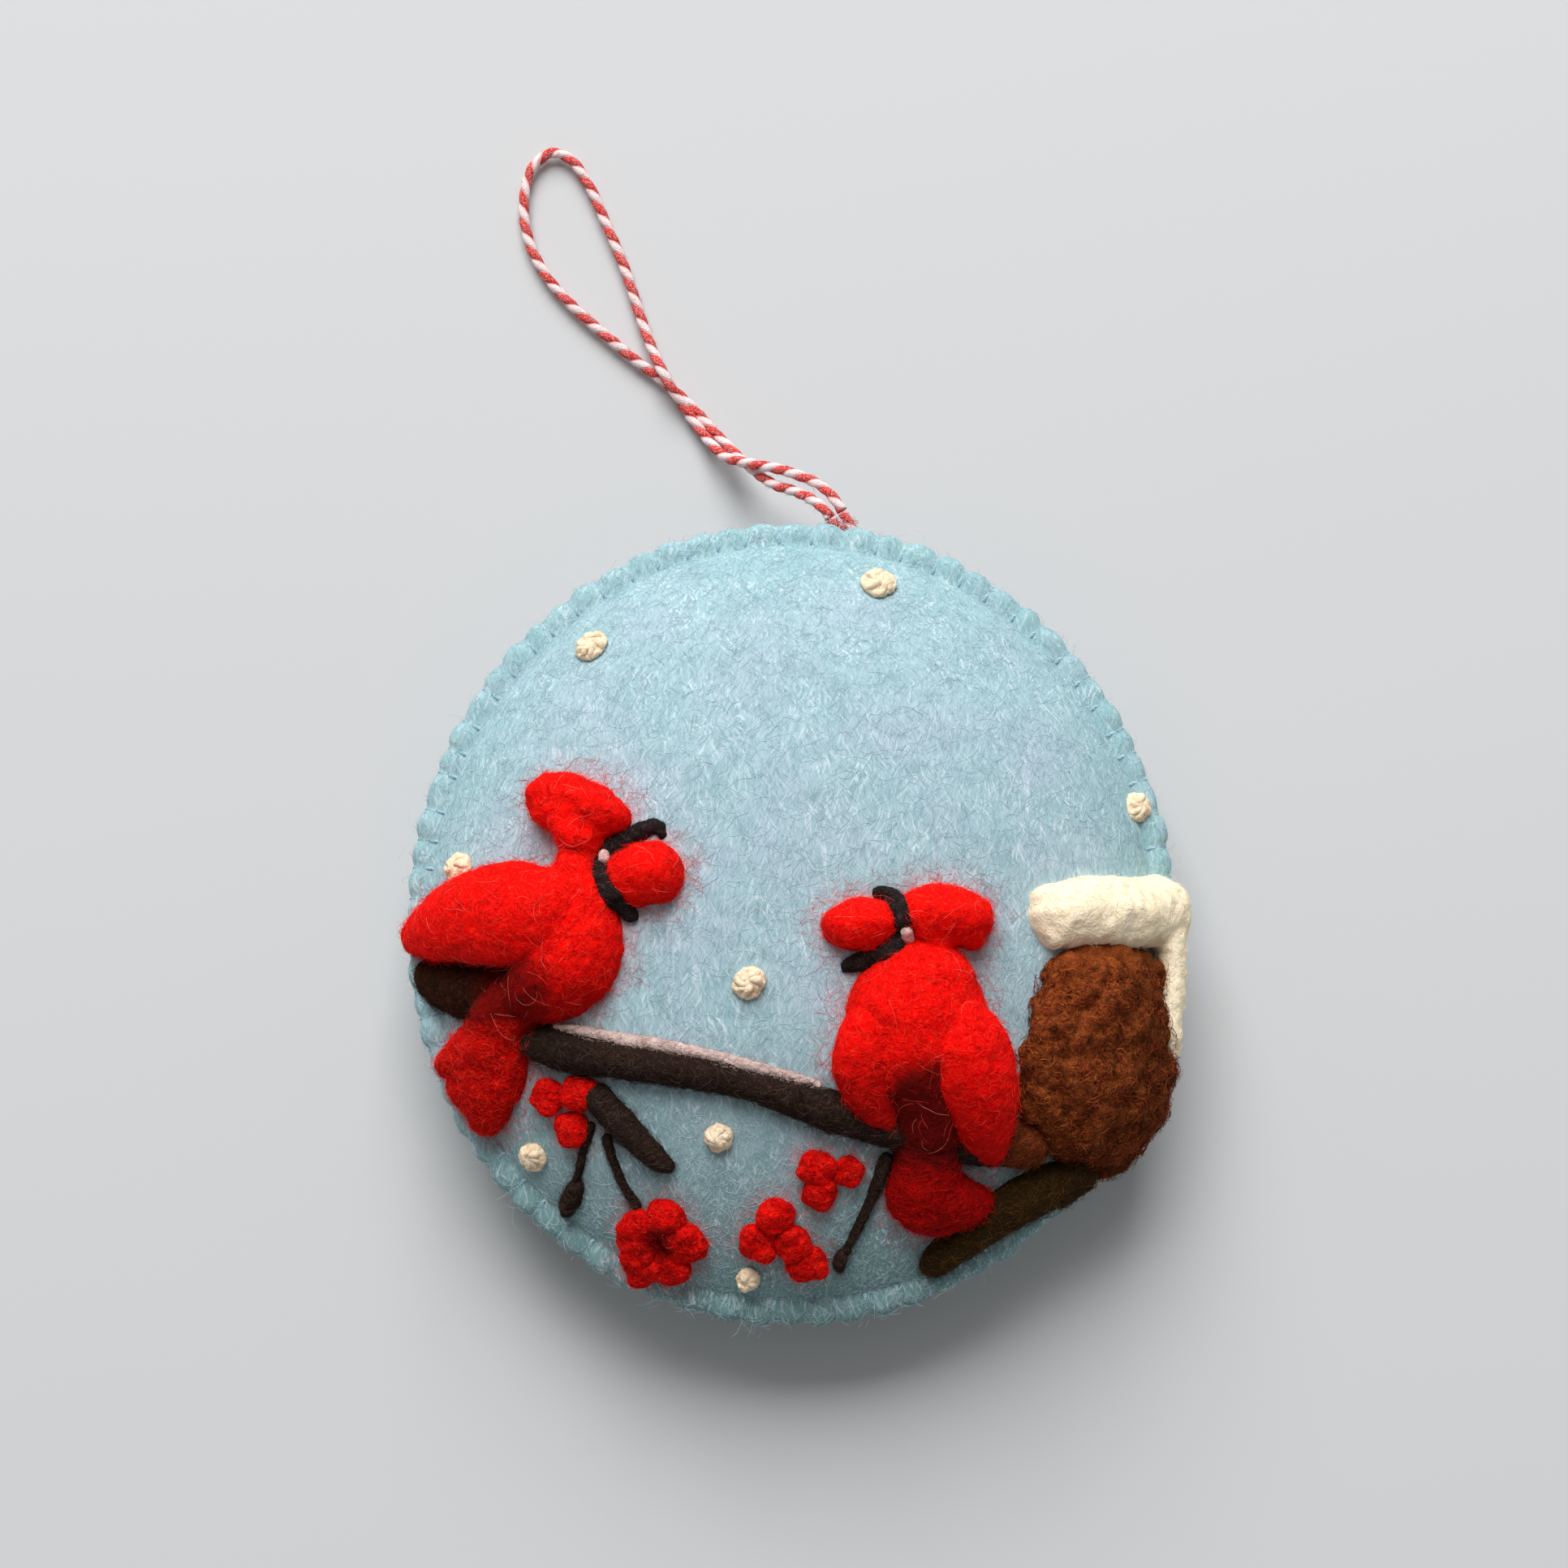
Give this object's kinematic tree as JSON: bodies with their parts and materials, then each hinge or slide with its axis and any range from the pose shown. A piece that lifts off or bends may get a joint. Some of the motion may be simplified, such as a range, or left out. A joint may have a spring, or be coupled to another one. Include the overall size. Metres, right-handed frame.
{
  "type": "stuffed felt ornament",
  "caption": "Round stuffed felt ornament with red wool birds, berries and a snowy branch in relief on its face, a stitched edge and a striped twine loop to hang it by.",
  "frame": {"origin": "under the middle of the ornament, on the plane that its flattened back rests on", "axes": "+Z out of the decorated face, +Y towards the edge with the hanging loop, +X to the right as the face is seen"},
  "size_m": [0.0888, 0.1402, 0.0317],
  "materials": {
    "light_blue_felt": "needled wool felt, matt, with pale stray fibres",
    "polyester_fibre": "loose white stuffing fibre",
    "light_blue_thread": "matt sewing thread",
    "striped_twine": "two-ply cotton twine, one ply red and one white",
    "red_wool": "packed wool, matt, with stray fibres",
    "dark_feather_wool": "packed dark brown wool",
    "trunk_wool_brown": "curly brown wool in small locks",
    "cream_wool": "smooth cream wool",
    "branch_wool": "rolled dark brown wool",
    "frost_wool": "thin laid line of pale pink wool",
    "mask_wool": "thin laid line of black wool",
    "eye_thread": "small stitch of pale pink thread",
    "cream_thread": "knotted cream embroidery thread"
  },
  "bodies": {
    "ornament": {"front_felt_panel": "light_blue_felt", "back_felt_panel": "light_blue_felt", "fibre_stuffing": "polyester_fibre", "rim_stitch_thread": "light_blue_thread", "loop_anchor_knot": "striped_twine", "trunk_snow": "cream_wool", "trunk_wool": "trunk_wool_brown", "main_branch": "branch_wool", "lower_branch": "branch_wool", "left_bird_body": "red_wool", "left_bird_wing": "red_wool", "left_bird_tail": "red_wool", "left_bird_head": "red_wool", "left_bird_beak": "red_wool", "left_bird_flight_feathers": "dark_feather_wool", "right_bird_body": "red_wool", "right_bird_near_wing": "red_wool", "right_bird_far_wing": "red_wool", "right_bird_tail": "red_wool", "right_bird_head": "red_wool", "right_bird_beak": "red_wool", "left_bird_mask": "mask_wool", "right_bird_mask": "mask_wool", "left_bird_eye": "eye_thread", "right_bird_eye": "eye_thread", "branch_snow": "frost_wool", "twig_stub": "branch_wool", "left_bud_twig": "branch_wool", "berry_stem": "branch_wool", "right_bud_twig": "branch_wool", "left_bud": "branch_wool", "right_bud": "branch_wool", "berry_1": "red_wool", "berry_2": "red_wool", "berry_3": "red_wool", "berry_4": "red_wool", "berry_5": "red_wool", "berry_6": "red_wool", "berry_7": "red_wool", "berry_8": "red_wool", "berry_9": "red_wool", "berry_10": "red_wool", "berry_11": "red_wool", "berry_12": "red_wool", "berry_13": "red_wool", "berry_14": "red_wool", "berry_15": "red_wool", "berry_16": "red_wool", "snow_knot_1": "cream_thread", "snow_knot_2": "cream_thread", "snow_knot_3": "cream_thread", "snow_knot_4": "cream_thread", "snow_knot_5": "cream_thread", "snow_knot_6": "cream_thread", "snow_knot_7": "cream_thread", "snow_knot_8": "cream_thread"},
    "hanging_loop": {"hanging_loop_twine": "striped_twine"}
  },
  "joints": [
    {"name": "loop_fold", "type": "hinge", "parent": "ornament", "child": "hanging_loop", "pos_m": [0.00497, 0.04677, 0.01115], "axis": [0.866, 0.5, 0], "range_deg": [0, 110]}
  ]
}
